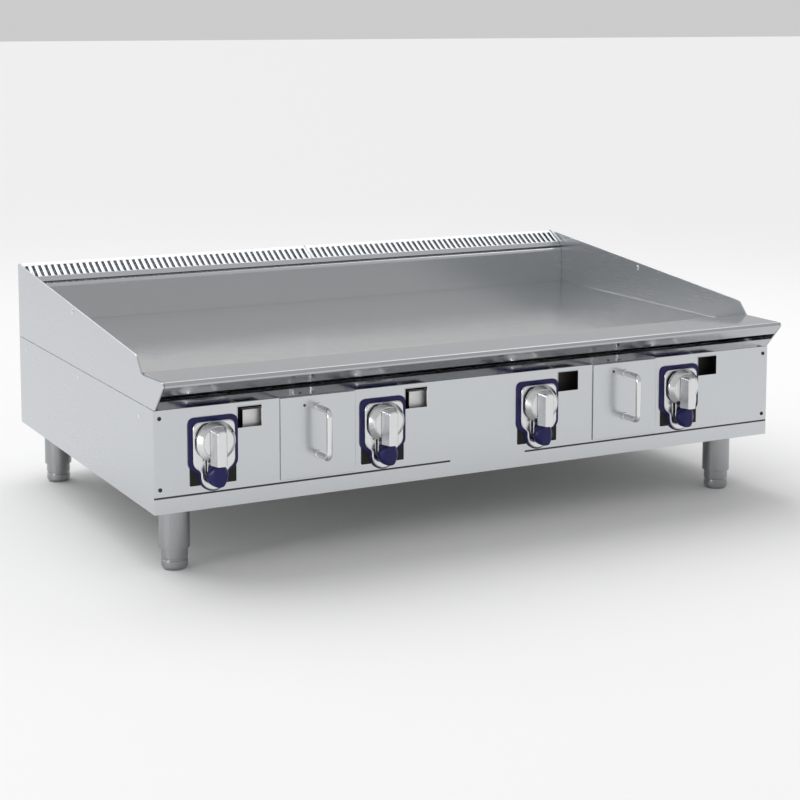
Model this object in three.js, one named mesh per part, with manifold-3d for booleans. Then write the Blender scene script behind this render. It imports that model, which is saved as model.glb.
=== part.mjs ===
// Countertop flat top griddle, gas, 48 inches wide.
// Millimetres. X runs to the right, Y to the back, Z up. The outlines below are
// written with y = 0 at the front of the fascia and z = 0 under the cabinet;
// add() moves every piece so that the finished part stands centred on the origin.
import * as THREE from 'three';
import { mergeVertices } from 'three/addons/utils/BufferGeometryUtils.js';
import Module from 'manifold-3d';

const wasm = await Module();
wasm.setup();

// ---- Driving dimensions ------------------------------------------------------
const INCH = 25.4;
const WIDTH = 48 * INCH;
const BAY = 12 * INCH;
const BAYS = 4;
const SHEET = 2;
const GAP = 0.3;

const CABINET_TOP = 168.2;
const CABINET_REAR = 754;
const LEG_HEIGHT = 102;

const WING = { thick: 3, rear: 760, tailY: 82, tailZ: 244.5, footY: 59.4, slope: 0.097, tuck: 18 };
const LEDGE = {
  top: 220, rear: 59, nose: -41.5, noseRadius: 6, faceEndY: -26, faceEndZ: 196, lip: 12, lipRise: 4,
};
const STRIP = {
  topY: -17.3, topZ: 185.3, footY: -1.8, footZ: 169, thick: 1.5, lip: 14, lipRise: 2, tail: 6,
};

const PLATE = { front: 155, rear: 707.4, top: 200, thick: 20 };
const TROUGH = { front: 62, rear: 153, floor: 174, frontTop: 216, rearTop: 198 };
const CHUTE = { halfX: 34, front: 114, rear: 147, bottom: 97 };
const VENT = { rows: 4, front: 470, pitch: 50, length: 100, width: 14 };

const SPLASH = { face: 708, foot: 182, bend: 268, radius: 7, lipY: 728, lipZ: 275 };
const GRILLE = {
  footY: 713.5, footZ: 279, frontY: 718, frontZ: 287.5, backY: 749, backZ: 306,
  capY: 756, capZ: 309, hemZ: 288,
};
const SLOT = { pitch: INCH / 2, width: 6.6, margin: 1.6, first: 0.75 };
const REAR_PANEL = { front: 750, top: 296 };

// The knob stands PUSH clear of the bezel's cap, so that it can be pushed in.
const PUSH = 3;
const CAP = { inset: 6.5, tailInset: 2.5, front: -8, bevel: 2.5 };
const KNOB = {
  fromBay: -52, z: 112, baseRadius: 33.5, faceRadius: 26,
  back: CAP.front - PUSH - 0.5, face: -25.5, front: -43,
};
const SHOULDER = { step: 3, rise: 1.5, barrel: 9, edge: 1, blend: 6 };
const GRIP = { base: 14, front: 7, top: 25, bottom: -35.4 };
const TIP = { z: -54, radius: 18.3, front: -35, bevel: 8, heel: 2.8, heelDepth: 2.4 };
const NECK = { half: 15, end: -50, front: -15 };
const SHAFT = { radius: 4, end: 42, fascia: 3, bezel: 2, collar: 0.4, valve: 0.5 };
const COLLAR = { radius: 9.6, front: 30, back: 36 };
const BEZEL = {
  halfX: 42.6, top: 39, low: -43, shoulder: -53, tailHalf: 25.5, tailBottom: -83, thick: 3,
  topRound: 13, lowRound: 9, footRound: 5,
};
const CORNER_PLATE = { halfX: 39.8, bottom: -72, top: -41, thick: 1.2 };
const WINDOW = { fromKnob: 42, width: 44, bottom: 125.3, top: 161.8 };

const DRAWER_X = [-323.9, 284.9];
const FRONT = { halfX: 68, bottom: 31, top: 167.5, back: -0.5, thick: 2.3 };
const TRAY = { halfX: 62, front: -0.2, rear: 390, bottom: 36, top: 92, wall: 1.5 };
const RUNNER = { fromMiddle: 50, thick: 2, top: 35.5, front: 8, rear: 400 };
const HANDLE = { radius: 5, reach: -44, low: 68, high: 147, corner: 11 };

const GROOVE = { z: 26.4, height: 3, depth: 1, gapFrom: -73.7, gapTo: 76 };
const SHIELD = { y: 36, bottom: 100, top: 171, notchHalf: 32, notchTop: 142 };
const PIPE = { radius: 13.35, y: 95, z: 112, from: -560, x: 578, bend: 40, end: 785 };
const BURNER = {
  radius: 19, half: 55, bend: 45, front: 205, rear: 640, z: 140, mouth: 128, flare: 4, neck: 12,
};
const VALVE = { half: 17, front: 24, back: 62, inlet: 9, nose: 10, noseEnd: 44, seatEnd: 52 };
const FEED = { radius: 4, bend: 9, y: 46, aheadY: 70, rise: 12, gap: 6 };
const BOX = { halfX: 550, front: 160, rear: 690, bottom: 100, rearTop: 138, mouthInset: 40, holeGap: 1.5 };

const LEGS = [
  { name: 'front_left', x: -561, y: 42 },
  { name: 'front_right', x: 526, y: 42 },
  { name: 'rear_left', x: -563, y: 668 },
  { name: 'rear_right', x: 526, y: 668 },
];
const LEG = { radius: 25, bore: 22.5, bottom: -67, cap: 3 };
const FOOT = {
  radius: 21.7, waist: 20.2, sole: 18.5, stud: 8, collar: -50, studTop: -12, ringTop: -83, ringFoot: -87,
  ringSlope: 1, chamfer: 3.5, edge: 0.6, round: 6,
};
// How far a cutting tool runs past the face it cuts, and the slack round a passing piece.
const PAST = 1;
const SLACK = 2;

// ---- Derived -----------------------------------------------------------------
const FRONT_MOST = HANDLE.reach - HANDLE.radius;
const Y_SHIFT = -(FRONT_MOST + PIPE.end) / 2;
const HALF = WIDTH / 2;
const SIDE_IN = HALF - SHEET;
const WING_OUT = SIDE_IN - GAP;
const WING_IN = WING_OUT - WING.thick;
const SPAN = WING_IN - GAP;
const bayCentres = Array.from({ length: BAYS }, (_, i) => (i - (BAYS - 1) / 2) * BAY);
const knobCentres = bayCentres.map((x) => x + KNOB.fromBay);

// ---- Materials ---------------------------------------------------------------
const look = (color, roughness, metalness) => ({ color, roughness, metalness });
const BRUSHED = look(0xb9bcbf, 0.35, 1);
const POLISHED = look(0xd2d4d6, 0.15, 1);
const COOKING_STEEL = look(0x8c8e90, 0.3, 1);
const ALUMINISED = look(0xa4a6a6, 0.6, 0.8);
const DARK_STEEL = look(0x4a4a4c, 0.6, 0.8);
const BRASS = look(0xb5924c, 0.35, 1);
const NAVY = look(0x17174f, 0.4, 0);
const CAST = look(0xc4c6c8, 0.25, 1);

// ---- Geometry helpers --------------------------------------------------------
const AXES = {
  x: [new THREE.Vector3(0, 1, 0), new THREE.Vector3(0, 0, 1), new THREE.Vector3(1, 0, 0)],
  y: [new THREE.Vector3(1, 0, 0), new THREE.Vector3(0, 0, 1), new THREE.Vector3(0, -1, 0)],
  z: [new THREE.Vector3(1, 0, 0), new THREE.Vector3(0, 1, 0), new THREE.Vector3(0, 0, 1)],
};

function outline(points) {
  return new THREE.Shape(points.map(([a, b]) => new THREE.Vector2(a, b)));
}

// Extrudes a shape along one axis. For x the shape is drawn in (y, z), for y in
// (x, z) and for z in (x, y); from and to are the two end planes, from < to.
function extrude(shape, axis, from, to) {
  const options = { depth: to - from, bevelEnabled: false, curveSegments: 10 };
  const geometry = new THREE.ExtrudeGeometry(shape, options);
  geometry.applyMatrix4(new THREE.Matrix4().makeBasis(...AXES[axis]));
  const start = AXES[axis][2].clone().multiplyScalar(axis === 'y' ? -to : from);
  return geometry.translate(start.x, start.y, start.z);
}

// A moulding that faces the front: an (x, z) shape with a rounded front edge. The
// extrusion rounds both ends, so it starts further back and is cut off at the back.
function moulding(shape, front, back, bevel, bevelSegments) {
  const options = { depth: back - front, bevelSegments, curveSegments: 10 };
  Object.assign(options, { bevelThickness: bevel, bevelSize: bevel, bevelOffset: -bevel });
  const geometry = new THREE.ExtrudeGeometry(shape, options);
  geometry.applyMatrix4(new THREE.Matrix4().makeBasis(...AXES.y));
  geometry.translate(0, back + bevel, 0);
  return cut(geometry, box(-WIDTH, WIDTH, back, back + WIDTH, -WIDTH, WIDTH));
}

function box(x0, x1, y0, y1, z0, z1) {
  const geometry = new THREE.BoxGeometry(x1 - x0, y1 - y0, z1 - z0);
  return geometry.translate((x0 + x1) / 2, (y0 + y1) / 2, (z0 + z1) / 2);
}

// A solid of revolution. The profile is [radius, height] up the chosen axis.
function turned(profile, axis, x, y, z, segments = 32) {
  const points = profile.map(([r, h]) => new THREE.Vector2(r, h));
  const geometry = new THREE.LatheGeometry(points, segments);
  if (axis === 'z') {
    geometry.rotateX(Math.PI / 2);
  }
  return geometry.translate(x, y, z);
}

function rod(radius, axis, x, y, z, from, to, segments = 20) {
  const profile = [[0, from], [radius, from], [radius, to], [0, to]];
  return turned(profile, axis, x, y, z, segments);
}

// A round bar along a path of points with rounded corners.
function bar(points, corner, radius, sides, steps) {
  const path = new THREE.CurvePath();
  const last = points.length - 1;
  let start = points[0];
  for (let i = 1; i < last; i += 1) {
    const back = points[i - 1].clone().sub(points[i]).setLength(corner);
    const ahead = points[i + 1].clone().sub(points[i]).setLength(corner);
    const enter = points[i].clone().add(back);
    const leave = points[i].clone().add(ahead);
    path.add(new THREE.LineCurve3(start, enter));
    path.add(new THREE.QuadraticBezierCurve3(enter, points[i], leave));
    start = leave;
  }
  path.add(new THREE.LineCurve3(start, points[last]));
  const circle = new THREE.Shape().absarc(0, 0, radius, 0, Math.PI * 2);
  const options = { extrudePath: path, steps, curveSegments: sides / 2 };
  return new THREE.ExtrudeGeometry(circle, options);
}

// Turns an open path into the outline of a folded sheet of even thickness. The
// thickness goes to the right of the direction of travel.
function folded(path, thick) {
  const inner = path.map((point, i) => {
    const before = path[Math.max(i - 1, 0)];
    const after = path[Math.min(i + 1, path.length - 1)];
    const a = i > 0 ? unit(before, point) : unit(point, after);
    const b = i < path.length - 1 ? unit(point, after) : unit(before, point);
    const bisector = [a[0] + b[0], a[1] + b[1]];
    const length = Math.hypot(...bisector);
    const normal = [bisector[1] / length, -bisector[0] / length];
    const shrink = thick / (normal[0] * a[1] - normal[1] * a[0]);
    return [point[0] + normal[0] * shrink, point[1] + normal[1] * shrink];
  });
  return outline([...path, ...inner.reverse()]);
}

function unit(from, to) {
  const length = Math.hypot(to[0] - from[0], to[1] - from[1]);
  return [(to[0] - from[0]) / length, (to[1] - from[1]) / length];
}

// Replaces one corner of an outline by a curve that starts a given distance before it.
function roundCorner(before, corner, after, distance, steps) {
  const a = unit(corner, before);
  const b = unit(corner, after);
  return Array.from({ length: steps + 1 }, (_, i) => {
    const t = i / steps;
    const near = distance * (1 - t) ** 2;
    const far = distance * t ** 2;
    return [corner[0] + a[0] * near + b[0] * far, corner[1] + a[1] * near + b[1] * far];
  });
}

// Points of a circular arc, for building outlines.
function arc(cx, cy, radius, fromDeg, toDeg, steps) {
  return Array.from({ length: steps + 1 }, (_, i) => {
    const angle = THREE.MathUtils.degToRad(fromDeg + ((toDeg - fromDeg) * i) / steps);
    return [cx + radius * Math.cos(angle), cy + radius * Math.sin(angle)];
  });
}

function toManifold(geometry) {
  const clean = geometry.clone();
  clean.deleteAttribute('normal');
  clean.deleteAttribute('uv');
  const merged = mergeVertices(clean, 1e-4);
  const vertProperties = new Float32Array(merged.attributes.position.array);
  const triVerts = new Uint32Array(merged.index.array);
  return new wasm.Manifold(new wasm.Mesh({ numProp: 3, vertProperties, triVerts }));
}

function fromManifold(solid) {
  const mesh = solid.getMesh();
  const geometry = new THREE.BufferGeometry();
  geometry.setAttribute('position', new THREE.BufferAttribute(new Float32Array(mesh.vertProperties), 3));
  geometry.setIndex(new THREE.BufferAttribute(new Uint32Array(mesh.triVerts), 1));
  geometry.computeVertexNormals();
  return geometry;
}

function join(...pieces) {
  return fromManifold(pieces.map(toManifold).reduce((a, b) => a.add(b)));
}

function cut(body, ...tools) {
  return fromManifold(tools.map(toManifold).reduce((a, b) => a.subtract(b), toManifold(body)));
}

const group = new THREE.Group();
group.name = 'flat_top_griddle';

function add(name, geometry, finish) {
  const mesh = new THREE.Mesh(geometry, new THREE.MeshStandardMaterial(finish));
  mesh.name = name;
  geometry.translate(0, Y_SHIFT, LEG_HEIGHT);
  group.add(mesh);
}

// ---- Cabinet -----------------------------------------------------------------
// The base pan carries two welded ribs below each grease drawer, which slides on them.
function basePan() {
  const pan = box(-WING_OUT, WING_OUT, SHEET + GAP, REAR_PANEL.front - GAP, 0, SHEET);
  const { fromMiddle, thick, top, front, rear } = RUNNER;
  const ribs = DRAWER_X.flatMap((x) => [-1, 1].map((side) => {
    const middle = x + side * fromMiddle;
    return box(middle - thick / 2, middle + thick / 2, front, rear, SHEET / 2, top);
  }));
  const vents = [];
  for (const x of bayCentres) {
    for (let row = 0; row < VENT.rows; row += 1) {
      const y = VENT.front + row * VENT.pitch;
      const half = VENT.length / 2;
      vents.push(box(x - half, x + half, y, y + VENT.width, -PAST, SHEET + PAST));
    }
  }
  return cut(join(pan, ...ribs), ...vents);
}

function fascia() {
  const inset = HALF - GAP;
  const plate = box(-inset, inset, 0, SHEET, 0, CABINET_TOP);
  const tools = [];
  for (const x of knobCentres) {
    const left = x + WINDOW.fromKnob;
    tools.push(box(left, left + WINDOW.width, -PAST, SHEET + PAST, WINDOW.bottom, WINDOW.top));
    tools.push(rod(SHAFT.radius + SHAFT.fascia, 'y', x, 0, KNOB.z, -PAST, SHEET + PAST));
  }
  for (const x of DRAWER_X) {
    const half = TRAY.halfX + SLACK;
    tools.push(box(x - half, x + half, -PAST, SHEET + PAST, TRAY.bottom - SLACK, TRAY.top + SLACK));
  }
  const low = GROOVE.z - GROOVE.height / 2;
  const high = GROOVE.z + GROOVE.height / 2;
  tools.push(box(-HALF, GROOVE.gapFrom, -PAST, GROOVE.depth, low, high));
  tools.push(box(GROOVE.gapTo, HALF, -PAST, GROOVE.depth, low, high));
  return cut(plate, ...tools);
}

// The round nose of the front rail, from its top down and back.
const railNose = arc(
  LEDGE.nose + LEDGE.noseRadius, LEDGE.top - LEDGE.noseRadius, LEDGE.noseRadius, 90, 210, 6,
);

function sideWing(side) {
  const rearTop = WING.tailZ + WING.slope * (WING.rear - WING.tailY);
  const low = CABINET_TOP - WING.tuck;
  const front = SHEET + GAP;
  const shape = outline([
    [front, low], [WING.rear, low], [WING.rear, rearTop], [WING.tailY, WING.tailZ],
    [WING.footY, LEDGE.top], ...railNose, [STRIP.footY, STRIP.footZ], [front, STRIP.footZ],
  ]);
  const inner = side < 0 ? -WING_OUT : WING_IN;
  return extrude(shape, 'x', inner, inner + WING.thick);
}

function sidePanel(side) {
  const x = side < 0 ? -HALF : SIDE_IN;
  return box(x, x + SHEET, SHEET + GAP, CABINET_REAR, 0, CABINET_TOP);
}

function rearPanel() {
  const plate = box(-SPAN, SPAN, REAR_PANEL.front, REAR_PANEL.front + SHEET, 0, REAR_PANEL.top);
  const { front } = REAR_PANEL;
  const hole = rod(PIPE.radius + SLACK, 'y', PIPE.x, 0, PIPE.z, front - PAST, front + SHEET + PAST);
  return cut(plate, hole);
}

add('base_pan', basePan(), ALUMINISED);
add('side_panel_left', sidePanel(-1), BRUSHED);
add('side_panel_right', sidePanel(1), BRUSHED);
add('side_splash_left', sideWing(-1), BRUSHED);
add('side_splash_right', sideWing(1), BRUSHED);
add('rear_panel', rearPanel(), BRUSHED);
add('fascia', fascia(), BRUSHED);

// ---- Front rail --------------------------------------------------------------
const ledgePath = [
  [LEDGE.faceEndY + LEDGE.lip, LEDGE.faceEndZ + LEDGE.lipRise], [LEDGE.faceEndY, LEDGE.faceEndZ],
  ...railNose.slice().reverse(), [LEDGE.rear, LEDGE.top],
];
add('front_ledge', extrude(folded(ledgePath, SHEET), 'x', -SPAN, SPAN), POLISHED);

const stripPath = [
  [STRIP.tail, STRIP.footZ], [STRIP.footY, STRIP.footZ],
  [STRIP.topY, STRIP.topZ], [STRIP.topY + STRIP.lip, STRIP.topZ + STRIP.lipRise],
];
add('rail_lower_strip', extrude(folded(stripPath, STRIP.thick), 'x', -SPAN, SPAN), POLISHED);

// ---- Cooking plate, trough and flue ------------------------------------------
const plate = box(-SPAN, SPAN, PLATE.front, PLATE.rear, PLATE.top - PLATE.thick, PLATE.top);
add('griddle_plate', plate, COOKING_STEEL);

function trough() {
  const path = [
    [TROUGH.front, TROUGH.frontTop], [TROUGH.front, TROUGH.floor],
    [TROUGH.rear, TROUGH.floor], [TROUGH.rear, TROUGH.rearTop],
  ];
  const channel = extrude(folded(path.reverse(), SHEET), 'x', -SPAN, SPAN);
  const outside = [];
  const inside = [];
  for (const x of DRAWER_X) {
    const { halfX, front, rear, bottom } = CHUTE;
    outside.push(box(x - halfX, x + halfX, front, rear, bottom, TROUGH.floor + SHEET / 2));
    const inner = halfX - SHEET;
    const top = TROUGH.floor + SHEET + PAST;
    inside.push(box(x - inner, x + inner, front + SHEET, rear - SHEET, bottom - PAST, top));
  }
  return cut(join(channel, ...outside), ...inside);
}
add('grease_trough', trough(), BRUSHED);

const bullnose = arc(SPLASH.face + SPLASH.radius, SPLASH.bend, SPLASH.radius, 180, 90, 6);
const splashPath = [[SPLASH.face, SPLASH.foot], ...bullnose, [SPLASH.lipY, SPLASH.lipZ]];
add('backsplash', extrude(folded(splashPath, SHEET), 'x', -SPAN, SPAN), BRUSHED);

// Half of the flue grille: a folded panel whose slope is cut into a comb of slots.
function flueGrille(side) {
  const { capY, capZ, hemZ } = GRILLE;
  const path = [
    [GRILLE.footY, GRILLE.footZ], [GRILLE.frontY, GRILLE.frontZ], [GRILLE.backY, GRILLE.backZ],
    [capY, capZ], [capY, hemZ],
  ];
  const inner = side * GAP;
  const outer = side * SPAN;
  const panel = extrude(folded(path, SHEET), 'x', Math.min(inner, outer), Math.max(inner, outer));
  const run = unit([GRILLE.frontY, GRILLE.frontZ], [GRILLE.backY, GRILLE.backZ]);
  const slotFoot = [GRILLE.frontY + run[0] * SLOT.margin, GRILLE.frontZ + run[1] * SLOT.margin];
  const slotHead = [GRILLE.backY - run[0] * SLOT.margin, GRILLE.backZ - run[1] * SLOT.margin];
  const up = [-run[1] * (SHEET + PAST), run[0] * (SHEET + PAST)];
  const cutter = outline([
    [slotFoot[0] + up[0], slotFoot[1] + up[1]], [slotFoot[0] - up[0], slotFoot[1] - up[1]],
    [slotHead[0] - up[0], slotHead[1] - up[1]], [slotHead[0] + up[0], slotHead[1] + up[1]],
  ]);
  const count = Math.floor((SPAN - SLOT.pitch) / SLOT.pitch);
  const tools = Array.from({ length: count }, (_, i) => {
    const centre = side * SLOT.pitch * (i + SLOT.first);
    return extrude(cutter, 'x', centre - SLOT.width / 2, centre + SLOT.width / 2);
  });
  return cut(panel, ...tools);
}
add('flue_grille_left', flueGrille(-1), BRUSHED);
add('flue_grille_right', flueGrille(1), BRUSHED);

// ---- Burner system -----------------------------------------------------------
function burnerBox() {
  const { halfX, front, rear, bottom, rearTop } = BOX;
  const top = PLATE.top - PLATE.thick - GAP;
  const block = box(-halfX, halfX, front, rear, bottom, top);
  const inner = halfX - SHEET;
  const hollow = box(-inner, inner, front + SHEET, rear - SHEET, bottom - PAST, top + PAST);
  const mouth = halfX - BOX.mouthInset;
  const flueMouth = box(-mouth, mouth, rear - SHEET * 2, rear + PAST, rearTop, top - SHEET * 3);
  const holes = bayCentres.map((x) => rod(
    BURNER.neck + BOX.holeGap, 'y', x, 0, BURNER.z, front - PAST, front + SHEET + PAST,
  ));
  return cut(block, hollow, flueMouth, ...holes);
}
add('burner_box', burnerBox(), ALUMINISED);

function burner(x) {
  const { half, front, rear, z, mouth, neck, flare, bend } = BURNER;
  const corners = [
    [x - half, rear], [x - half, front], [x + half, front], [x + half, rear],
  ].map(([px, py]) => new THREE.Vector3(px, py, z));
  const tube = bar(corners, bend, BURNER.radius, 10, 18);
  const root = front - BURNER.radius / 2;
  const mixer = turned([
    [0, mouth], [neck - flare / 2, mouth], [neck, mouth + flare], [neck, root], [0, root],
  ], 'y', x, 0, z, 20);
  return join(tube, mixer);
}
bayCentres.forEach((x, i) => add(`burner_${i + 1}`, burner(x), DARK_STEEL));

function manifoldPipe() {
  const { radius, y, z, from, x, bend, end } = PIPE;
  const points = [[from, y], [x, y], [x, end]].map(([px, py]) => new THREE.Vector3(px, py, z));
  return bar(points, bend, radius, 12, 16);
}
add('gas_manifold', manifoldPipe(), DARK_STEEL);

// Each valve has a bored nose for the push collar and a tube to its burner.
function gasValve(x, burnerX) {
  const { half, front, back } = VALVE;
  const body = box(x - half, x + half, front, back, KNOB.z - half, KNOB.z + half);
  const inlet = rod(VALVE.inlet, 'y', x, 0, KNOB.z, back - PAST, PIPE.y - PIPE.radius - GAP, 20);
  const tube = bar([
    new THREE.Vector3(x, FEED.y, KNOB.z + FEED.rise),
    new THREE.Vector3(x, FEED.y, BURNER.z),
    new THREE.Vector3(burnerX, FEED.aheadY, BURNER.z),
    new THREE.Vector3(burnerX, BURNER.mouth - FEED.gap, BURNER.z),
  ], FEED.bend, FEED.radius, 6, 12);
  const nose = rod(VALVE.nose, 'y', x, 0, KNOB.z, front - PAST, VALVE.noseEnd);
  const seat = rod(SHAFT.radius + SHAFT.valve, 'y', x, 0, KNOB.z, VALVE.noseEnd - PAST, VALVE.seatEnd);
  return cut(join(body, inlet, tube), nose, seat);
}
knobCentres.forEach((x, i) => add(`gas_valve_${i + 1}`, gasValve(x, bayCentres[i]), BRASS));

function heatShield() {
  const plate = box(-SPAN, SPAN, SHIELD.y, SHIELD.y + SHEET, SHIELD.bottom, SHIELD.top);
  const notches = knobCentres.map((x) => box(
    x - SHIELD.notchHalf, x + SHIELD.notchHalf + SLACK * 2, SHIELD.y - PAST, SHIELD.y + SHEET + PAST,
    SHIELD.bottom - PAST, SHIELD.notchTop,
  ));
  return cut(plate, ...notches);
}
add('heat_shield', heatShield(), ALUMINISED);

// ---- Controls ----------------------------------------------------------------
// The escutcheon: a rounded square round the knob that narrows to a round tail.
function escutcheon(inset, tailInset) {
  const a = BEZEL.halfX - inset;
  const top = BEZEL.top - inset;
  const low = BEZEL.low + inset / 2;
  const foot = BEZEL.shoulder + inset / 2;
  const half = BEZEL.tailHalf - tailInset;
  const tail = BEZEL.tailBottom + tailInset + half;
  const right = [
    ...roundCorner([half, tail], [half, foot], [a, low], BEZEL.footRound, 3),
    ...roundCorner([half, foot], [a, low], [a, top], BEZEL.lowRound, 4),
    ...roundCorner([a, low], [a, top], [-a, top], BEZEL.topRound, 6),
  ];
  const left = right.map(([x, z]) => [-x, z]).reverse();
  return [...right, ...left, ...arc(0, tail, half, 180, 360, 12)];
}

function placed(points, x, z) {
  return outline(points.map(([a, b]) => [x + a, z + b]));
}

function bezelBase(x) {
  const flange = extrude(placed(escutcheon(0, 0), x, KNOB.z), 'y', -BEZEL.thick - GAP, -GAP);
  const { halfX, bottom, top, thick } = CORNER_PLATE;
  const corners = box(x - halfX, x + halfX, -thick - GAP, -GAP, KNOB.z + bottom, KNOB.z + top);
  const hole = rod(SHAFT.radius + SHAFT.bezel, 'y', x, 0, KNOB.z, -BEZEL.thick - SLACK, PAST);
  return cut(join(flange, corners), hole);
}

function bezelCap(x) {
  const shape = placed(escutcheon(CAP.inset, CAP.tailInset), x, KNOB.z);
  const back = -BEZEL.thick - GAP * 2;
  const shell = moulding(shape, CAP.front, back, CAP.bevel, 2);
  return cut(shell, rod(SHAFT.radius + SHAFT.bezel, 'y', x, 0, KNOB.z, CAP.front - PAST, back + PAST));
}

function knob(x) {
  const { baseRadius, faceRadius, back, face, front } = KNOB;
  const { step, rise, barrel, edge, blend } = SHOULDER;
  const disc = turned([
    [0, face], [faceRadius, face], [faceRadius + step, face + rise], [baseRadius - edge, face + blend],
    [baseRadius, face + barrel], [baseRadius, back], [0, back],
  ], 'y', x, 0, KNOB.z, 32);
  const root = face + PAST;
  const grip = extrude(
    outline([[-GRIP.base, root], [-GRIP.front, front], [GRIP.front, front], [GRIP.base, root]]),
    'z', KNOB.z + GRIP.bottom, KNOB.z + GRIP.top,
  ).translate(x, 0, 0);
  const neck = [[NECK.half, 0], [-NECK.half, 0], ...arc(0, NECK.end, NECK.half, 180, 360, 10)];
  const plate = extrude(placed(neck, x, KNOB.z), 'y', NECK.front, back);
  const shaft = rod(SHAFT.radius, 'y', x, 0, KNOB.z, back - PAST, SHAFT.end);
  return join(disc, grip, plate, shaft);
}

// The navy tip, with a smaller heel that clears the strip above when the knob points up.
function knobTip(x) {
  const circle = placed(arc(0, TIP.z, TIP.radius, 0, 350, 35), x, KNOB.z);
  const back = NECK.front - GAP;
  const root = back - TIP.heelDepth;
  const heel = rod(TIP.radius - TIP.heel, 'y', x, 0, KNOB.z + TIP.z, root - PAST, back);
  return join(moulding(circle, TIP.front, root, TIP.bevel, 3), heel);
}

function pushCollar(x) {
  const { radius, front, back } = COLLAR;
  const ring = rod(radius, 'y', x, 0, KNOB.z, front, back, 16);
  const hole = rod(SHAFT.radius + SHAFT.collar, 'y', x, 0, KNOB.z, front - PAST, back + PAST, 16);
  return cut(ring, hole);
}

knobCentres.forEach((x, i) => {
  const n = i + 1;
  add(`bezel_base_${n}`, bezelBase(x), NAVY);
  add(`bezel_cap_${n}`, bezelCap(x), CAST);
  add(`push_collar_${n}`, pushCollar(x), BRASS);
  add(`knob_${n}`, knob(x), CAST);
  add(`knob_tip_${n}`, knobTip(x), NAVY);
});

// ---- Grease drawers ----------------------------------------------------------
function tray(x) {
  const { halfX, front, rear, bottom, top, wall } = TRAY;
  const block = box(x - halfX, x + halfX, front, rear, bottom, top);
  const inner = halfX - wall;
  const hollow = box(x - inner, x + inner, front + wall, rear - wall, bottom + wall, top + PAST);
  return cut(block, hollow);
}

function bowHandle(x) {
  const { radius, reach, low, high, corner } = HANDLE;
  const foot = FRONT.back - FRONT.thick - GAP;
  const points = [[foot, high], [reach, high], [reach, low], [foot, low]];
  return bar(points.map(([y, z]) => new THREE.Vector3(x, y, z)), corner, radius, 12, 24);
}

DRAWER_X.forEach((x, i) => {
  const side = ['left', 'right'][i];
  const { halfX, bottom, top, back, thick } = FRONT;
  add(`drawer_tray_${side}`, tray(x), BRUSHED);
  add(`drawer_front_${side}`, box(x - halfX, x + halfX, back - thick, back, bottom, top), BRUSHED);
  add(`drawer_handle_${side}`, bowHandle(x), POLISHED);
});

// ---- Legs and feet -----------------------------------------------------------
for (const { name, x, y } of LEGS) {
  const { radius, bore, bottom, cap } = LEG;
  const tube = [
    [0, -cap - GAP], [bore, -cap - GAP], [bore, bottom], [radius, bottom], [radius, -GAP], [0, -GAP],
  ];
  add(`leg_${name}`, turned(tube, 'z', x, y, 0, 28), BRUSHED);
  const { ringTop, ringFoot, ringSlope, chamfer, edge, round, waist, sole, stud, collar, studTop } = FOOT;
  const wide = FOOT.radius;
  const foot = [
    [0, -LEG_HEIGHT], [sole, -LEG_HEIGHT], [wide - edge, -LEG_HEIGHT + chamfer], [wide, -LEG_HEIGHT + round],
    [wide, ringFoot], [waist, ringFoot + ringSlope], [waist, ringTop - ringSlope], [wide, ringTop],
    [wide, collar], [stud, collar], [stud, studTop], [0, studTop],
  ];
  add(`foot_${name}`, turned(foot, 'z', x, y, 0, 28), BRUSHED);
}

export default group;
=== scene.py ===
"""A countertop gas flat top griddle, 48 inches wide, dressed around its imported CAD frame."""
import math

import bmesh
import bpy
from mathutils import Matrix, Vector


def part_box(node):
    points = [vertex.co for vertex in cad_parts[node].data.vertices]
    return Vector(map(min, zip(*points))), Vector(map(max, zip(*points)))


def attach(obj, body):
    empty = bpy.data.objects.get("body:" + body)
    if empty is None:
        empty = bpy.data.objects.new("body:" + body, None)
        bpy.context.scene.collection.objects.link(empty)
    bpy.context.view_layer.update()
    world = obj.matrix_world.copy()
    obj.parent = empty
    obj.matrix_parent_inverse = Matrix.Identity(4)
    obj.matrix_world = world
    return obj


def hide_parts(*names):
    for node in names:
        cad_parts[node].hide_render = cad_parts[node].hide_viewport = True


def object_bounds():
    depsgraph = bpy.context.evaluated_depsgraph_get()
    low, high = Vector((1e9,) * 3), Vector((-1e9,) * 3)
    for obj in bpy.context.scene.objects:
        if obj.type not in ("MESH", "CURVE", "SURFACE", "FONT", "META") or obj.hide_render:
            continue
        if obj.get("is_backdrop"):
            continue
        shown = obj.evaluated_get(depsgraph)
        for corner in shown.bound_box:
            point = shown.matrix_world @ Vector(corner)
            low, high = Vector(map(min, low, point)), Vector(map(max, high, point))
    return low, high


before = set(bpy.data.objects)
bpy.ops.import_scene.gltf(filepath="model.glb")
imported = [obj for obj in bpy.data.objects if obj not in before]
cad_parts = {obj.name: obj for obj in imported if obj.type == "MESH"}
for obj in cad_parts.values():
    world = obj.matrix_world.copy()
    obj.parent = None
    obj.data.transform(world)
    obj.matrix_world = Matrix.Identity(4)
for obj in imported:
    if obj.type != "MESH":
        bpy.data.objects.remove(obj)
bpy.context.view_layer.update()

MM = 0.001
CABINET = "cabinet"
BURNERS = 4
SIDES = ("left", "right")
CORNERS = ("front_left", "front_right", "rear_left", "rear_right")

# Pieces are written in millimetres from the fascia's lower front edge, in its middle.
ORIGIN = Vector((0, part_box("fascia")[0].y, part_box("fascia")[0].z))


def at(x, y, z):
    return ORIGIN + Vector((x, y, z)) * MM


def local_box(node):
    """A CAD node's corners in the same millimetres."""
    low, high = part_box(node)
    return (low - ORIGIN) / MM, (high - ORIGIN) / MM


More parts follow.
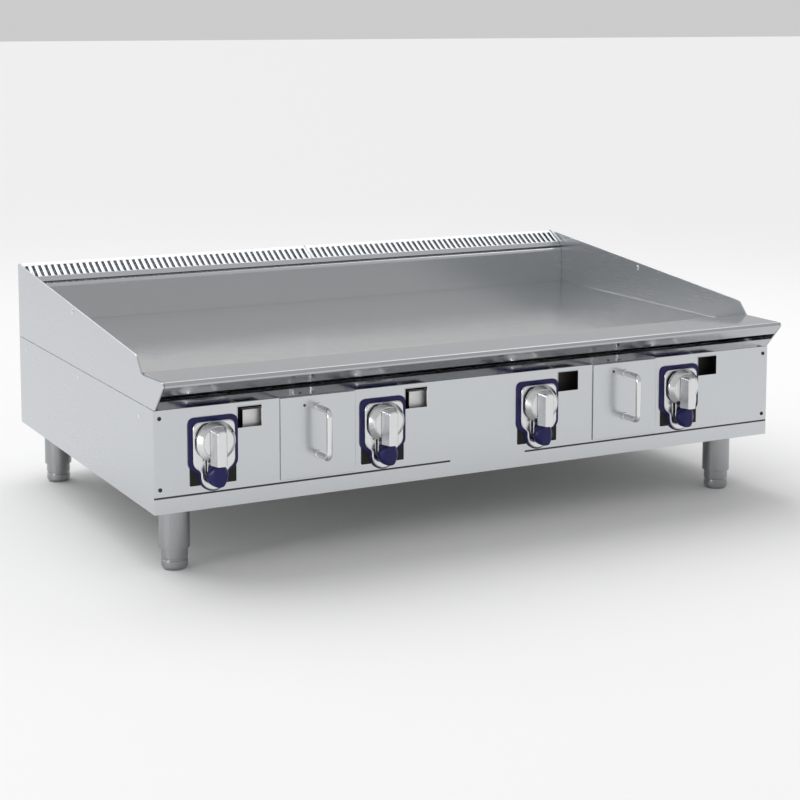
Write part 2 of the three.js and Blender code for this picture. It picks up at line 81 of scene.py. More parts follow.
# ---- Outlines ------------------------------------------------------------------------
def arc(cx, cy, radius, start, end, steps):
    angles = [math.radians(start + (end - start) * i / steps) for i in range(steps + 1)]
    return [(cx + radius * math.cos(a), cy + radius * math.sin(a)) for a in angles]


def rounded(points, radii, steps=5):
    """A closed outline with its corners rounded by quadratic curves."""
    out = []
    for i, point in enumerate(points):
        radius = radii[i]
        if not radius:
            out.append(point)
            continue
        p = Vector(point)
        a = p + (Vector(points[i - 1]) - p).normalized() * radius
        b = p + (Vector(points[(i + 1) % len(points)]) - p).normalized() * radius
        for k in range(steps + 1):
            t = k / steps
            q = a * (1 - t) ** 2 + p * 2 * t * (1 - t) + b * t**2
            out.append((q.x, q.y))
    return out


def folded(path, thick):
    """The outline of a folded sheet. Its thickness goes to the right of the path."""
    back = []
    for i, point in enumerate(path):
        before, after = Vector(path[max(i - 1, 0)]), Vector(path[min(i + 1, len(path) - 1)])
        p = Vector(point)
        a = (p - before).normalized() if i else (after - p).normalized()
        b = (after - p).normalized() if i < len(path) - 1 else (p - before).normalized()
        bisector = (a + b).normalized()
        normal = Vector((bisector.y, -bisector.x))
        reach = thick / (normal.x * a.y - normal.y * a.x)
        back.append(tuple(p + normal * reach))
    return list(path) + back[::-1]


# ---- Meshes --------------------------------------------------------------------------
def loft(rings, close=False):
    """A closed skin through rings of points, capped at both ends unless it closes on itself."""
    bm = bmesh.new()
    rows = [[bm.verts.new(p) for p in ring] for ring in rings]
    count = len(rows[0])
    pairs = list(zip(rows, rows[1:])) + ([(rows[-1], rows[0])] if close else [])
    for a, b in pairs:
        for i in range(count):
            j = (i + 1) % count
            bm.faces.new((a[i], a[j], b[j], b[i]))
    if not close:
        bm.faces.new(rows[0][::-1])
        bm.faces.new(rows[-1])
    bmesh.ops.recalc_face_normals(bm, faces=bm.faces)
    return bm


def merge(*meshes):
    """Joins several meshes into one."""
    whole = bmesh.new()
    for part in meshes:
        data = bpy.data.meshes.new("part")
        part.to_mesh(data)
        part.free()
        whole.from_mesh(data)
        bpy.data.meshes.remove(data)
    return whole


def soften(bm, width, segments=2, angle=30):
    """Rounds every edge sharper than the angle."""
    limit = math.radians(angle)
    edges = [e for e in bm.edges if len(e.link_faces) == 2 and e.calc_face_angle() > limit]
    bmesh.ops.bevel(
        bm, geom=edges, offset=width * MM, segments=segments, profile=0.5,
        affect="EDGES", clamp_overlap=True,
    )
    return bm


def piece(name, bm, body, material, replaces=(), sharp=40):
    mesh = bpy.data.meshes.new(name)
    bm.to_mesh(mesh)
    bm.free()
    mesh.materials.append(material)
    for polygon in mesh.polygons:
        polygon.use_smooth = True
    mesh.set_sharp_from_angle(angle=math.radians(sharp))
    obj = bpy.data.objects.new(name, mesh)
    bpy.context.scene.collection.objects.link(obj)
    weighted = obj.modifiers.new("even_shading", "WEIGHTED_NORMAL")
    weighted.keep_sharp = True
    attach(obj, body)
    if replaces:
        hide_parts(*replaces)
    return obj


def prism_x(outline, x0, x1):
    return loft([[at(x, y, z) for y, z in outline] for x in (x0, x1)])


def prism_y(outline, y0, y1):
    return loft([[at(x, y, z) for x, z in outline] for y in (y0, y1)])


def block(x0, x1, y0, y1, z0, z1):
    return prism_x([(y0, z0), (y1, z0), (y1, z1), (y0, z1)], x0, x1)


def turned(profile, axis, x, y, z, segments=64):
    """A solid of revolution from (radius, height) pairs, along Y or Z through a point."""
    rings = []
    for radius, height in profile:
        ring = []
        for i in range(segments):
            a = 2 * math.pi * i / segments
            u, v = radius * math.cos(a), radius * math.sin(a)
            ring.append(at(x + u, y + v, z + height) if axis == "z" else at(x + u, y + height, z + v))
        rings.append(ring)
    return loft(rings)


def tube(points, radius, sides=24):
    """A round bar along a polyline given in the at() millimetres."""
    line = [at(*p) for p in points]
    rings = []
    normal = None
    for i, p in enumerate(line):
        ahead = line[min(i + 1, len(line) - 1)] - line[max(i - 1, 0)]
        ahead.normalize()
        if normal is None:
            normal = ahead.orthogonal().normalized()
        else:
            normal = (normal - ahead * normal.dot(ahead)).normalized()
        side = ahead.cross(normal)
        ring = []
        for k in range(sides):
            a = 2 * math.pi * k / sides
            ring.append(p + (normal * math.cos(a) + side * math.sin(a)) * radius * MM)
        rings.append(ring)
    return loft(rings)


def bent(points, corner, steps=8):
    """A 3-D polyline with round corners."""
    out = [points[0]]
    for i in range(1, len(points) - 1):
        p = Vector(points[i])
        a = p + (Vector(points[i - 1]) - p).normalized() * corner
        b = p + (Vector(points[i + 1]) - p).normalized() * corner
        centre = a + b - p
        for k in range(steps + 1):
            t = math.pi / 2 * k / steps
            q = centre + (a - centre) * math.cos(t) + (b - centre) * math.sin(t)
            out.append(tuple(q))
    out.append(points[-1])
    return out


# ---- Materials -----------------------------------------------------------------------
def link(tree, source, output, target, socket):
    tree.links.new(source.outputs[output], target.inputs[socket])


def streaks(tree, coords, scale, detail, stretch):
    """Noise stretched along one direction."""
    mapping = tree.nodes.new("ShaderNodeMapping")
    mapping.inputs["Scale"].default_value = stretch
    noise = tree.nodes.new("ShaderNodeTexNoise")
    noise.inputs["Scale"].default_value = scale
    noise.inputs["Detail"].default_value = detail
    link(tree, coords, "Object", mapping, "Vector")
    link(tree, mapping, "Vector", noise, "Vector")
    return noise


def spread(tree, source, low, high):
    """Maps noise around its middle to a range."""
    node = tree.nodes.new("ShaderNodeMapRange")
    node.inputs["From Min"].default_value = 0.3
    node.inputs["From Max"].default_value = 0.7
    node.inputs["To Min"].default_value = low
    node.inputs["To Max"].default_value = high
    link(tree, source, "Fac", node, "Value")
    return node


def tint(tree, source, dark, light):
    ramp = tree.nodes.new("ShaderNodeValToRGB")
    ramp.color_ramp.elements[0].position = 0.3
    ramp.color_ramp.elements[0].color = (*dark, 1)
    ramp.color_ramp.elements[1].position = 0.7
    ramp.color_ramp.elements[1].color = (*light, 1)
    link(tree, source, "Fac", ramp, "Fac")
    return ramp


def shaded(value, factor):
    return tuple(c * factor for c in value)


def metal(name, colour, roughness, grain, spread_by=0.05, bump=0.1, anisotropic=0.0, contrast=0.04,
          tangent_axis="Z"):
    """Steel with a grain. grain is the stretch of the brush lines along X, Y and Z."""
    material = bpy.data.materials.new(name)
    material.use_nodes = True
    tree = material.node_tree
    shader = tree.nodes["Principled BSDF"]
    shader.inputs["Metallic"].default_value = 1
    coords = tree.nodes.new("ShaderNodeTexCoord")
    fine = streaks(tree, coords, 1, 3, grain)
    broad = streaks(tree, coords, 4, 4, (1, 1, 1))
    colours = tint(tree, fine, shaded(colour, 1 - contrast), shaded(colour, 1 + contrast))
    link(tree, colours, "Color", shader, "Base Color")
    rough_fine = spread(tree, fine, roughness - spread_by, roughness + spread_by)
    rough_broad = spread(tree, broad, -spread_by * 0.6, spread_by * 0.6)
    add = tree.nodes.new("ShaderNodeMath")
    add.operation = "ADD"
    add.use_clamp = True
    link(tree, rough_fine, "Result", add, 0)
    link(tree, rough_broad, "Result", add, 1)
    link(tree, add, "Value", shader, "Roughness")
    bumper = tree.nodes.new("ShaderNodeBump")
    bumper.inputs["Strength"].default_value = bump
    bumper.inputs["Distance"].default_value = 0.0003
    link(tree, fine, "Fac", bumper, "Height")
    link(tree, bumper, "Normal", shader, "Normal")
    if anisotropic:
        shader.inputs["Anisotropic"].default_value = anisotropic
        tangent = tree.nodes.new("ShaderNodeTangent")
        tangent.direction_type = "RADIAL"
        tangent.axis = tangent_axis
        link(tree, tangent, "Tangent", shader, "Tangent")
    return material


def plastic(name, colour, roughness, coat):
    """Moulded plastic with a fine spark texture."""
    material = bpy.data.materials.new(name)
    material.use_nodes = True
    tree = material.node_tree
    shader = tree.nodes["Principled BSDF"]
    shader.inputs["Specular IOR Level"].default_value = 0.3
    shader.inputs["Coat Weight"].default_value = coat
    shader.inputs["Coat Roughness"].default_value = 0.12
    coords = tree.nodes.new("ShaderNodeTexCoord")
    spark = streaks(tree, coords, 1400, 2, (1, 1, 1))
    cloud = streaks(tree, coords, 60, 3, (1, 1, 1))
    colours = tint(tree, cloud, shaded(colour, 0.85), shaded(colour, 1.15))
    link(tree, colours, "Color", shader, "Base Color")
    rough = spread(tree, cloud, roughness - 0.05, roughness + 0.05)
    link(tree, rough, "Result", shader, "Roughness")
    bumper = tree.nodes.new("ShaderNodeBump")
    bumper.inputs["Strength"].default_value = 0.12
    bumper.inputs["Distance"].default_value = 0.0002
    link(tree, spark, "Fac", bumper, "Height")
    link(tree, bumper, "Normal", shader, "Normal")
    return material


ALONG_X = (4, 620, 620)
ALONG_Y = (620, 4, 620)
ROUND_Z = (1200, 1200, 8)
CAST_GRAIN = (500, 500, 500)

SHEET = metal("brushed_sheet_x", (0.6, 0.62, 0.64), 0.24, ALONG_X, 0.006, 0.002, 0.15, 0.006)
SIDE_SHEET = metal("brushed_sheet_y", (0.58, 0.6, 0.62), 0.27, ALONG_Y, 0.006, 0.002, 0.15, 0.006)
RAIL = metal("polished_rail", (0.5, 0.515, 0.53), 0.12, ALONG_X, 0.015, 0.004, contrast=0.008)
POLISHED = metal("polished_sheet", (0.78, 0.785, 0.79), 0.1, ALONG_X, 0.02, 0.02, contrast=0.01)
COOKTOP = metal("ground_plate", (0.62, 0.615, 0.61), 0.17, ALONG_X, 0.015, 0.005, contrast=0.012)
# Bright metal for the plates behind the first two windows, which stand in for the light falling through them:
# painted light.
WINDOW_LIGHT_METAL = metal("window_light_patch_metal", (0.8, 0.8, 0.8), 0.5, CAST_GRAIN, 0.04, 0.05)
DULL = metal("aluminised_sheet", (0.5, 0.51, 0.51), 0.5, CAST_GRAIN, 0.08, 0.15)
SOOTY = metal("heat_stained_tube", (0.14, 0.13, 0.125), 0.55, CAST_GRAIN, 0.1, 0.2)
BRASS = metal("machined_brass", (0.72, 0.53, 0.25), 0.3, CAST_GRAIN, 0.06, 0.08)
CAST = metal("satin_casting", (0.74, 0.745, 0.75), 0.2, CAST_GRAIN, 0.03, 0.03, contrast=0.02)
ROD = metal("polished_bar", (0.76, 0.765, 0.77), 0.12, ROUND_Z, 0.03, 0.02, contrast=0.02)
LEG_STEEL = metal("leg_tube", (0.36, 0.37, 0.38), 0.3, ROUND_Z, 0.03, 0.02, contrast=0.02)
# The dark screw metal also colours the strip in the fascia's groove, where it is painted shade.
DARK_SCREW_AND_GROOVE_SHADE = metal("dark_screw_and_groove_shade", (0.06, 0.06, 0.065), 0.4, CAST_GRAIN, 0.06, 0.05)
NAVY = plastic("navy_moulding", (0.004, 0.004, 0.085), 0.34, 0.1)
BLACK = plastic("black_moulding", (0.006, 0.006, 0.0065), 0.45, 0.0)

# ---- Carried-over CAD nodes ----------------------------------------------------------
CARRIED = {
    "fascia": (SHEET, 0.35),
    "base_pan": (DULL, 0.3),
    "rear_panel": (SHEET, 0.4),
    "griddle_plate": (COOKTOP, 1.2),
    "grease_trough": (SHEET, 0.3),
    "burner_box": (DULL, 0.3),
    "heat_shield": (SOOTY, 0.3),
    "gas_manifold": (SOOTY, 0),
    "drawer_tray_left": (SHEET, 0.3),
    "drawer_tray_right": (SHEET, 0.3),
    "drawer_front_left": (SHEET, 0.7),
    "drawer_front_right": (SHEET, 0.7),
}
for number in range(1, BURNERS + 1):
    CARRIED[f"burner_{number}"] = (SOOTY, 0)
    CARRIED[f"gas_valve_{number}"] = (BRASS, 0.4)
    CARRIED[f"push_collar_{number}"] = (BRASS, 0.3)

for node, (material, width) in CARRIED.items():
    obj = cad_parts[node]
    obj.data.materials.clear()
    obj.data.materials.append(material)
    for polygon in obj.data.polygons:
        polygon.use_smooth = True
    weld = obj.modifiers.new("weld", "WELD")
    weld.merge_threshold = 0.00001
    if width:
        bevel = obj.modifiers.new("rounded_edges", "BEVEL")
        bevel.width = width * MM
        bevel.segments = 2
        bevel.limit_method = "ANGLE"
        bevel.angle_limit = math.radians(30)
    weighted = obj.modifiers.new("even_shading", "WEIGHTED_NORMAL")
    weighted.keep_sharp = False

# ---- Front rail ----------------------------------------------------------------------
ledge_low, ledge_high = local_box("front_ledge")
strip_low, strip_high = local_box("rail_lower_strip")
NOSE_RADIUS = 6
LEDGE_TOP = ledge_high.z
NOSE = (-41.5 + NOSE_RADIUS, LEDGE_TOP - NOSE_RADIUS)
LEDGE_REAR = ledge_high.y

nose = arc(*NOSE, NOSE_RADIUS, 210, 90, 20)
ledge_path = [(-14, 200), (-26, 196), *nose, (LEDGE_REAR - 3, LEDGE_TOP)]
ledge_path += arc(LEDGE_REAR - 3, LEDGE_TOP - 3, 3, 80, 0, 6) + [(LEDGE_REAR, LEDGE_TOP - 5)]
ledge = soften(prism_x(folded(ledge_path, 2), ledge_low.x, ledge_high.x), 0.3, 2, 50)
piece("front_ledge_sheet", ledge, CABINET, RAIL, ["front_ledge"])

strip_path = [(6, 169), (-1.8, 169), (-17.3, 185.3), (-3.3, 187.3)]
strip = soften(prism_x(folded(strip_path, 1.5), strip_low.x, strip_high.x), 0.3)
piece("rail_strip_sheet", strip, CABINET, RAIL, ["rail_lower_strip"])

# ---- Side panels and splashes --------------------------------------------------------
RIVET_RISE = 0.8
for side in SIDES:
    node = f"side_panel_{side}"
    low, high = local_box(node)
    if side == "left":
        low.x += RIVET_RISE
    else:
        high.x -= RIVET_RISE
    sheet = soften(block(low.x, high.x, low.y, high.y, low.z, high.z), 0.2, 3)
    piece(f"{node}_sheet", sheet, CABINET, SIDE_SHEET, [node])

for side in SIDES:
    node = f"side_splash_{side}"
    low, high = local_box(node)
    wing_nose = arc(*NOSE, NOSE_RADIUS, 90, 210, 20)
    corners = [(3, low.z), (high.y, low.z), (high.y, high.z), (82, 244.5), (59.4, LEDGE_TOP)]
    outline = rounded(corners, [0, 0, 5, 7, 5])
    outline += wing_nose + [(-1.8, 169), (3, 169)]
    wing = soften(prism_x(outline, low.x, high.x), 0.8, 3, 40)
    piece(f"{node}_sheet", wing, CABINET, SIDE_SHEET, [node])

# ---- Backsplash ----------------------------------------------------------------------
SPLASH_FRONT = 708
BEND_RADIUS = 7
BEND_START = 268

low, high = local_box("backsplash")
bullnose = arc(SPLASH_FRONT + BEND_RADIUS, BEND_START, BEND_RADIUS, 180, 90, 16)
splash_path = [(SPLASH_FRONT, low.z), *bullnose, (high.y, high.z)]
splash = soften(prism_x(folded(splash_path, 2), low.x, high.x), 0.3, 2, 50)
piece("backsplash_sheet", splash, CABINET, SHEET, ["backsplash"])


# ---- Flue grille ---------------------------------------------------------------------
SLOT_PITCH = 12.7
SLOT_HALF = 3.3
GRILLE_THICK = 2


def grille(node):
    """A folded panel with a row of round-ended slots down its slope."""
    low, high = local_box(node)
    path = [(713.5, 279), (718, 287.5), (749, 306), (756, 309), (756, 288)]
    front, back = Vector(path[1]), Vector(path[2])
    run = (back - front).normalized()
    length = (back - front).length
    side = 1 if high.x > 300 else -1
    inner = 0.3 * side
    reach = high.x - low.x
    edges = [0, SLOT_PITCH * 0.25]
    while edges[-1] + SLOT_PITCH < reach - 2:
        edges.append(edges[-1] + SLOT_PITCH)
    bm = bmesh.new()

    def spot(u, v):
        y, z = front + run * v
        return at(inner + side * u, y, z)

    def face(points):
        bm.faces.new([bm.verts.new(p) for p in points])

    columns = [0]
    for a, b in zip(edges[1:], edges[2:]):
        centre = (a + b) / 2
        low_arc = arc(centre, 0.6 + SLOT_HALF, SLOT_HALF, 270, 180, 5)
        high_arc = arc(centre, length - 1.4 - SLOT_HALF, SLOT_HALF, 180, 90, 5)
        left = [(centre, 0), (a, 0), (a, length), (centre, length)] + (low_arc + high_arc)[::-1]
        face([spot(u, v) for u, v in left])
        face([spot(2 * centre - u, v) for u, v in left])
        columns += [a, centre]
    columns += [edges[-1], reach]
    for a, b in ((0, edges[1]), (edges[-1], reach)):
        face([spot(u, v) for u, v in ((a, 0), (b, 0), (b, length), (a, length))])
    for a, b in zip(columns, columns[1:]):
        for (y0, z0), (y1, z1) in (path[0:2], path[2:4], path[3:5]):
            quad = ((a, y0, z0), (b, y0, z0), (b, y1, z1), (a, y1, z1))
            face([at(inner + side * u, y, z) for u, y, z in quad])
    bmesh.ops.remove_doubles(bm, verts=bm.verts, dist=0.01 * MM)
    bmesh.ops.recalc_face_normals(bm, faces=bm.faces)
    up = sum((f.normal.z * f.calc_area() for f in bm.faces), 0)
    if up < 0:
        bmesh.ops.reverse_faces(bm, faces=bm.faces)
    obj = piece(f"{node}_panel", bm, CABINET, SHEET, [node], 30)
    solid = obj.modifiers.new("sheet", "SOLIDIFY")
    solid.thickness = GRILLE_THICK * MM
    solid.offset = -1
    solid.use_even_offset = True
    obj.modifiers.move(1, 0)


for side in SIDES:
    grille(f"flue_grille_{side}")


# ---- Controls ------------------------------------------------------------------------
KNOB_Z = 112
TIP_Z = -54


def curved(before, corner, after, distance, steps):
    """A corner of an outline, rounded by a curve that starts a given distance before it."""
    p = Vector(corner)
    a = (Vector(before) - p).normalized() * distance
    b = (Vector(after) - p).normalized() * distance
    return [tuple(p + a * (1 - i / steps) ** 2 + b * (i / steps) ** 2) for i in range(steps + 1)]


def escutcheon(inset, tail_inset):
    """A rounded square that narrows to a round tail, about the knob's axis."""
    a, top, low, foot = 42.6 - inset, 39 - inset, -43 + inset / 2, -53 + inset / 2
    half = 25.5 - tail_inset
    tail = -83 + tail_inset + half
    right = curved((half, tail), (half, foot), (a, low), 5, 6)
    right += curved((half, foot), (a, low), (a, top), 9, 8)
    right += curved((a, low), (a, top), (-a, top), 13, 12)
    left = [(-x, z) for x, z in right[::-1]]
    return right + left + arc(0, tail, half, 180, 360, 28)


def moulded(outline_at, x, z, levels):
    """A moulding lofted through (inset, y) levels."""
    return loft([[at(x + u, y, z + w) for u, w in outline_at(inset)] for inset, y in levels])


def fillet(inset, y_side, y_front, radius, steps=6):
    """The levels of a rounded front edge."""
    turns = [math.pi / 2 * i / steps for i in range(steps + 1)]
    return [(inset, y_side)] + [
        (inset + radius * (1 - math.cos(t)), y_front + radius * (1 - math.sin(t))) for t in turns
    ]


def superellipse(half_x, half_z, centre_z, power, count=64):
    points = []
    for i in range(count):
        t = 2 * math.pi * i / count
        c, s = math.cos(t), math.sin(t)
        x = half_x * math.copysign(abs(c) ** (2 / power), c)
        points.append((x, centre_z + half_z * math.copysign(abs(s) ** (2 / power), s)))
    return points


# The navy tip's sections, from its heel to its ridge: y, half width, half height, power.
TIP_SECTIONS = (
    (-15.3, 15.2, 15.2, 2.0), (-16.6, 17.4, 17.4, 2.0), (-17.9, 18.3, 18.3, 2.0), (-20.0, 18.3, 18.3, 2.0),
    (-22.5, 17.7, 18.3, 2.05), (-25.0, 16.3, 18.2, 2.15), (-27.2, 14.4, 18.1, 2.3), (-29.2, 12.2, 17.9, 2.6),
    (-30.8, 10.4, 17.5, 3.0), (-31.8, 8.9, 16.8, 3.4), (-32.3, 7.2, 15.6, 3.4), (-32.5, 5.4, 13.8, 3.2),
)

for number in range(1, BURNERS + 1):
    low, high = local_box(f"bezel_base_{number}")
    x, z = (low.x + high.x) / 2, KNOB_Z
    turning = f"control_{number}"

    base = moulded(lambda i: escutcheon(i, i), x, z, fillet(0, -0.3, -3.3, 1.2))
    piece(f"bezel_flange_{number}", base, CABINET, NAVY, [f"bezel_base_{number}"])
    for sign, hand in ((-1, "left"), (1, "right")):
        plate = rounded([(x + sign * 22, z - 72), (x + sign * 39.8, z - 72),
                         (x + sign * 39.8, z - 41), (x + sign * 22, z - 41)], [1, 1.5, 1, 1])
        corner = soften(prism_y(plate, -1.5, -0.3), 0.3)
        piece(f"bezel_corner_{hand}_{number}", corner, CABINET, BLACK)

    cap = moulded(lambda i: escutcheon(6.5 + i, 2.5 + i), x, z, fillet(0, -3.6, -8, 2.6, 8))
    piece(f"bezel_shell_{number}", cap, CABINET, CAST, [f"bezel_cap_{number}"])

    disc_profile = [
        (4, 42), (4, -11.5), (32.7, -11.5), (33.5, -12.3), (33.5, -15.2), (33.3, -16), (32.8, -16.7),
        (27.2, -23.6), (26.4, -24.3), (25.4, -24.6), (24.6, -24.2), (23.8, -24), (20, -24.2), (2, -24.6),
    ]
    disc = turned(disc_profile, "y", x, 0, z, 96)
    grip_rings = []
    for inset, y in [(0, -25), *fillet(0, -26, -43, 2, 6)]:
        share = (-25 - y) / (43 - 25)
        half = 14 - 6.4 * share - inset
        top = 25 - 3 * share - inset
        ring = rounded([(x - half, z - 35.4), (x + half, z - 35.4), (x + half, z + top), (x - half, z + top)],
                       [0.4, 0.4, min(half, 6), min(half, 6)])
        grip_rings.append([at(u, y, w) for u, w in ring])
    neck = [(15, 0), (-15, 0)] + arc(0, -50, 15, 180, 360, 32)
    neck = prism_y([(x + u, z + w) for u, w in neck], -15, -11.5)
    knob = merge(disc, loft(grip_rings), soften(neck, 0.6))
    piece(f"knob_body_{number}", knob, turning, CAST, [f"knob_{number}"])

    sections = []
    for y, half_x, half_z, power in TIP_SECTIONS:
        ring = superellipse(half_x, half_z, TIP_Z, power)
        sections.append([at(x + u, y, z + w) for u, w in ring])
    piece(f"knob_pointer_{number}", loft(sections), turning, NAVY, [f"knob_tip_{number}"])

# ---- Drawers' handles ----------------------------------------------------------------
for side in SIDES:
    low, high = local_box(f"drawer_handle_{side}")
    x = (low.x + high.x) / 2
    radius = (high.x - low.x) / 2
    y_bar, y_foot = low.y + radius, high.y
    z_low, z_high = low.z + radius, high.z - radius
    line = bent([(x, y_foot, z_high), (x, y_bar, z_high), (x, y_bar, z_low), (x, y_foot, z_low)], 10, 10)
    parts = [tube(line, radius, 32)]
    for z in (z_low, z_high):
        collar = [(7.2, 0), (7.2, -1.2), (6.6, -1.9), (5.2, -2.1)]
        parts.append(turned([(r, y_foot + h) for r, h in collar], "y", x, 0, z, 48))
    piece(f"drawer_bow_{side}", merge(*parts), f"drawer_{side}", ROD,
          [f"drawer_handle_{side}"])

# ---- Legs and feet -------------------------------------------------------------------
for corner in CORNERS:
    low, high = local_box(f"leg_{corner}")
    x, y = (low.x + high.x) / 2, (low.y + high.y) / 2
    radius = (high.x - low.x) / 2
    leg_profile = [(22.6, high.z - 3), (22.6, low.z), (radius - 0.8, low.z), (radius - 0.2, low.z + 0.3),
                   (radius, low.z + 1), (radius, high.z), (10, high.z)]
    leg = turned(leg_profile, "z", x, y, 0, 96)
    piece(f"leg_tube_{corner}", leg, CABINET, LEG_STEEL, [f"leg_{corner}"])
    sole = -102
    foot_profile = [
        (16, sole), (18.5, sole), (20.6, sole + 3), (21.4, sole + 4.6), (21.7, sole + 6), (21.7, -87.4),
        (21.2, -86.8), (20.2, -86.4), (20.0, -85.4), (20.0, -84.6), (20.2, -83.6), (21.2, -83.2),
        (21.7, -82.6), (21.7, -52), (20.8, -50.2), (8, -50), (8, -12.4), (7, -12),
    ]
    foot = turned(foot_profile, "z", x, y, 0, 96)
    piece(f"foot_turned_{corner}", foot, f"levelling_{corner}", LEG_STEEL, [f"foot_{corner}"])


# ---- Fasteners -----------------------------------------------------------------------
def socket_screw(x, y, z, radius, facing=1):
    """A button-head screw with a hexagonal socket, facing the front (1) or the rear (-1)."""
    count = 48

    def circle(r):
        return [(r * math.cos(2 * math.pi * i / count), r * math.sin(2 * math.pi * i / count))
                for i in range(count)]

    def hexagon(r):
        out = []
        for i in range(count):
            a = 2 * math.pi * i / count
            reach = r / math.cos((a % (math.pi / 3)) - math.pi / 6)
            out.append((reach * math.cos(a), reach * math.sin(a)))
        return out

    rings = [(circle(radius), 0), (circle(radius), -0.4), (circle(radius * 0.9), -1.1),
             (circle(radius * 0.66), -1.6), (hexagon(radius * 0.5), -1.7), (hexagon(radius * 0.47), -0.5)]
    return loft([[at(x + u, y + d * facing, z + w) for u, w in ring] for ring, d in rings])


def rivet(x, y, z, radius, outward, rise):
    """A low domed rivet head on a face that looks along X."""
    rings = []
    for r, h in ((1, -0.4), (1, 0.2), (0.92, 0.5), (0.72, 0.8), (0.4, 0.96), (0.08, 1)):
        ring = []
        for i in range(28):
            a = 2 * math.pi * i / 28
            height = z + radius * r * math.sin(a)
            ring.append(at(x + outward * h * rise, y + radius * r * math.cos(a), height))
        rings.append(ring)
    return loft(rings)


# ---- Window lips and groove ----------------------------------------------------------
def frame_ring(x0, x1, z0, z1, width, y_front, y_back):
    """A rectangular frame that lines a window."""
    outer = [(x0, z0), (x1, z0), (x1, z1), (x0, z1)]
    left, right = x0 + width, x1 - width
    bottom, top = z0 + width, z1 - width
    inner = [(left, bottom), (right, bottom), (right, top), (left, top)]
    rings = [(outer, y_back), (outer, y_front), (inner, y_front), (inner, y_back)]
    return loft([[at(x, y, z) for x, z in ring] for ring, y in rings], close=True)


WINDOW_OFFSET = 42
WINDOW_WIDTH = 44
WINDOW_BOTTOM, WINDOW_TOP = 125.4, 161.7
LIP_GAP = 0.1
LIP_WIDTH = 0.9

for number in range(1, BURNERS + 1):
    low, high = local_box(f"knob_{number}")
    left = (low.x + high.x) / 2 + WINDOW_OFFSET
    right = left + WINDOW_WIDTH
    lip = frame_ring(left + LIP_GAP, right - LIP_GAP, WINDOW_BOTTOM, WINDOW_TOP, LIP_WIDTH, -0.8, 2)
    piece(f"window_lip_{number}", soften(lip, 0.25), CABINET, POLISHED)

# A bright plate stands behind each of the first two windows only, clear of the window's top and left: it
# stands in for the patch of light that falls through those windows, painted light.
LIGHT_PATCH_OFFSET = 57
LIGHT_PATCH_WIDTH = 52
LIGHT_PATCH_PATH = [(12, 118), (12, 152), (22, 153)]
for number in (1, 2):
    low, high = local_box(f"knob_{number}")
    left = (low.x + high.x) / 2 + LIGHT_PATCH_OFFSET
    light_patch = soften(prism_x(folded(LIGHT_PATCH_PATH, 1), left, left + LIGHT_PATCH_WIDTH), 0.3)
    piece(f"window_light_patch_{number}", light_patch, CABINET, WINDOW_LIGHT_METAL)

# A dark strip fills the fascia's groove along its length: painted shade in the groove.
GROOVE_BOTTOM, GROOVE_TOP = 25.2, 27.6
for x0, x1, name in ((-609, -74, "left"), (76.3, 609, "right")):
    shade_strip = soften(block(x0, x1, 0.45, 0.98, GROOVE_BOTTOM, GROOVE_TOP), 0.12)
    piece(f"groove_painted_shade_{name}", shade_strip, CABINET, DARK_SCREW_AND_GROOVE_SHADE)

# ---- Screws and rivets ---------------------------------------------------------------
SCREW_RADIUS = 3.4
PROUD = 0.05
FASCIA_SCREW_X = 599
FASCIA_SCREW_Z = (40, 155)
REAR_SCREW_X = (-590, -197, 197, 590)
REAR_SCREW_Z = (14, 262)
PANEL_RIVETS = ((709, 149.7), (385.8, 154.3), (67.4, 147.9))
PANEL_RIVET_RADIUS = 4.2
WING_RIVET = (415.8, 266)
WING_RIVET_RADIUS = 4.6
WING_RIVET_RISE = 1.5

screws = [socket_screw(sign * FASCIA_SCREW_X, -PROUD, z, SCREW_RADIUS)
          for sign in (-1, 1) for z in FASCIA_SCREW_Z]
piece("fascia_screws", merge(*screws), CABINET, DARK_SCREW_AND_GROOVE_SHADE)
low, high = local_box("rear_panel")
backs = [socket_screw(x, high.y + PROUD, z, SCREW_RADIUS, -1)
         for x in REAR_SCREW_X for z in REAR_SCREW_Z]
piece("rear_screws", merge(*backs), CABINET, DARK_SCREW_AND_GROOVE_SHADE)
for side in SIDES:
    low, high = local_box(f"drawer_front_{side}")
    spot = socket_screw((low.x + high.x) / 2 - 25, low.y - PROUD, 152, 2.2)
    piece(f"drawer_screw_{side}", spot, f"drawer_{side}", DARK_SCREW_AND_GROOVE_SHADE)

for side, outward in (("left", -1), ("right", 1)):
    low, high = local_box(f"side_panel_{side}")
    face = (low.x if outward < 0 else high.x) - outward * RIVET_RISE
    heads = [rivet(face, y, z, PANEL_RIVET_RADIUS, outward, RIVET_RISE) for y, z in PANEL_RIVETS]
    low, high = local_box(f"side_splash_{side}")
    outer, inner = (low.x, high.x) if outward < 0 else (high.x, low.x)
    heads += [rivet(x, *WING_RIVET, WING_RIVET_RADIUS, way, WING_RIVET_RISE)
              for x, way in ((outer, outward), (inner, -outward))]
    piece(f"side_rivets_{side}", merge(*heads), CABINET, ROD)

# ---- Floor, light and camera ---------------------------------------------------------
FLOOR_REACH = 60
PALE_GREY = 0.86
SURROUND = 0.6

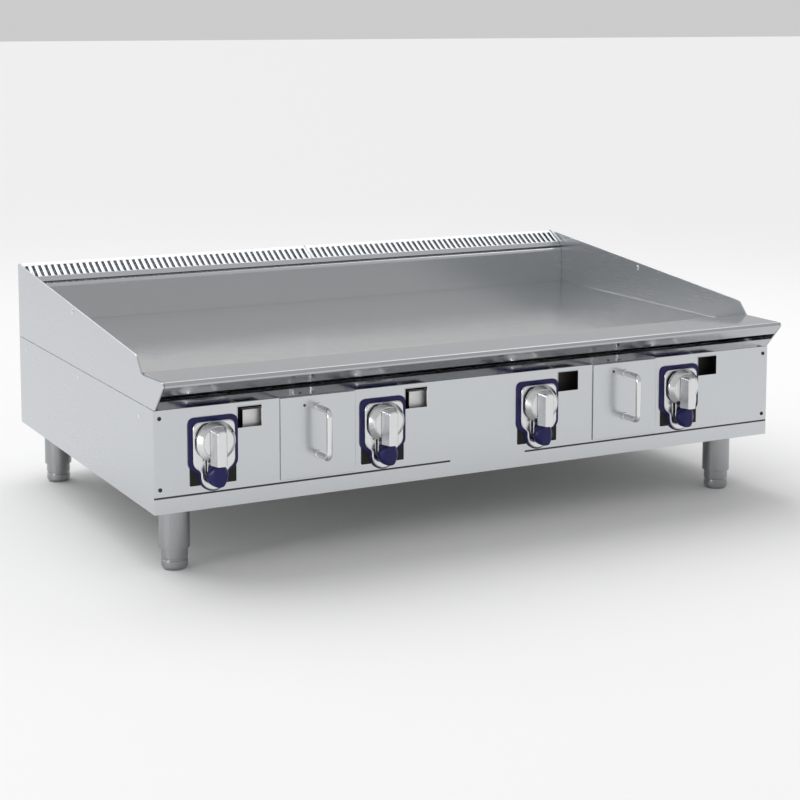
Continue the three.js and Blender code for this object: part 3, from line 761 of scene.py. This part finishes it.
pale = bpy.data.materials.new("pale_floor")
pale.use_nodes = True
floor_shader = pale.node_tree.nodes["Principled BSDF"]
floor_shader.inputs["Base Color"].default_value = (PALE_GREY, PALE_GREY, PALE_GREY, 1)
floor_shader.inputs["Roughness"].default_value = 0.9
floor_mesh = bpy.data.meshes.new("floor")
floor_corners = [(-1, -1), (1, -1), (1, 1), (-1, 1)]
floor_mesh.from_pydata([(u * FLOOR_REACH, v * FLOOR_REACH, 0) for u, v in floor_corners], [], [(0, 1, 2, 3)])
floor_mesh.materials.append(pale)
floor = bpy.data.objects.new("floor", floor_mesh)
bpy.context.scene.collection.objects.link(floor)
floor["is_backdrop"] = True

# The surround is one even grey, the same for every ray.
world = bpy.data.worlds.new("studio")
world.use_nodes = True
world.node_tree.nodes["Background"].inputs["Color"].default_value = (1, 1, 1, 1)
world.node_tree.nodes["Background"].inputs["Strength"].default_value = SURROUND
bpy.context.scene.world = world


def softbox(name, location, target, size, power):
    data = bpy.data.lights.new(name, "AREA")
    data.shape = "RECTANGLE"
    data.size, data.size_y = size
    data.energy = power
    lamp = bpy.data.objects.new(name, data)
    lamp.location = location
    lamp.rotation_euler = (Vector(target) - Vector(location)).to_track_quat("-Z", "Y").to_euler()
    bpy.context.scene.collection.objects.link(lamp)


def far_light(name, direction, strength, softness):
    data = bpy.data.lights.new(name, "SUN")
    data.energy = strength
    data.angle = math.radians(softness)
    lamp = bpy.data.objects.new(name, data)
    lamp.rotation_euler = Vector(direction).to_track_quat("-Z", "Y").to_euler()
    bpy.context.scene.collection.objects.link(lamp)


far_light("back_light", (0.25, -0.7, -0.9), 1.6, 60)
softbox("left_softbox", (-3.4, -1.0, 0.5), (0, 0, 0.2), (0.5, 0.8), 16)
softbox("top_softbox", (1.35, 1.35, 2.5), (0, 0, 0.3), (2.8, 1.5), 15)
bpy.context.scene.view_settings.view_transform = "Standard"

FOCAL_LENGTH = 81
SENSOR_WIDTH = 36
SHIFT = -0.225
STANDPOINT = (-1.5525, -3.0062, 0.8869)
YAW, PITCH = math.radians(27.637), math.radians(6.458)
camera_data = bpy.data.cameras.new("camera")
camera_data.lens = FOCAL_LENGTH
camera_data.sensor_width = SENSOR_WIDTH
camera_data.shift_y = SHIFT
camera = bpy.data.objects.new("camera", camera_data)
camera.location = STANDPOINT
camera.rotation_euler = (math.pi / 2 - PITCH, 0, -YAW)
bpy.context.scene.collection.objects.link(camera)
bpy.context.scene.camera = camera

bpy.context.view_layer.update()
low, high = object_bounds()
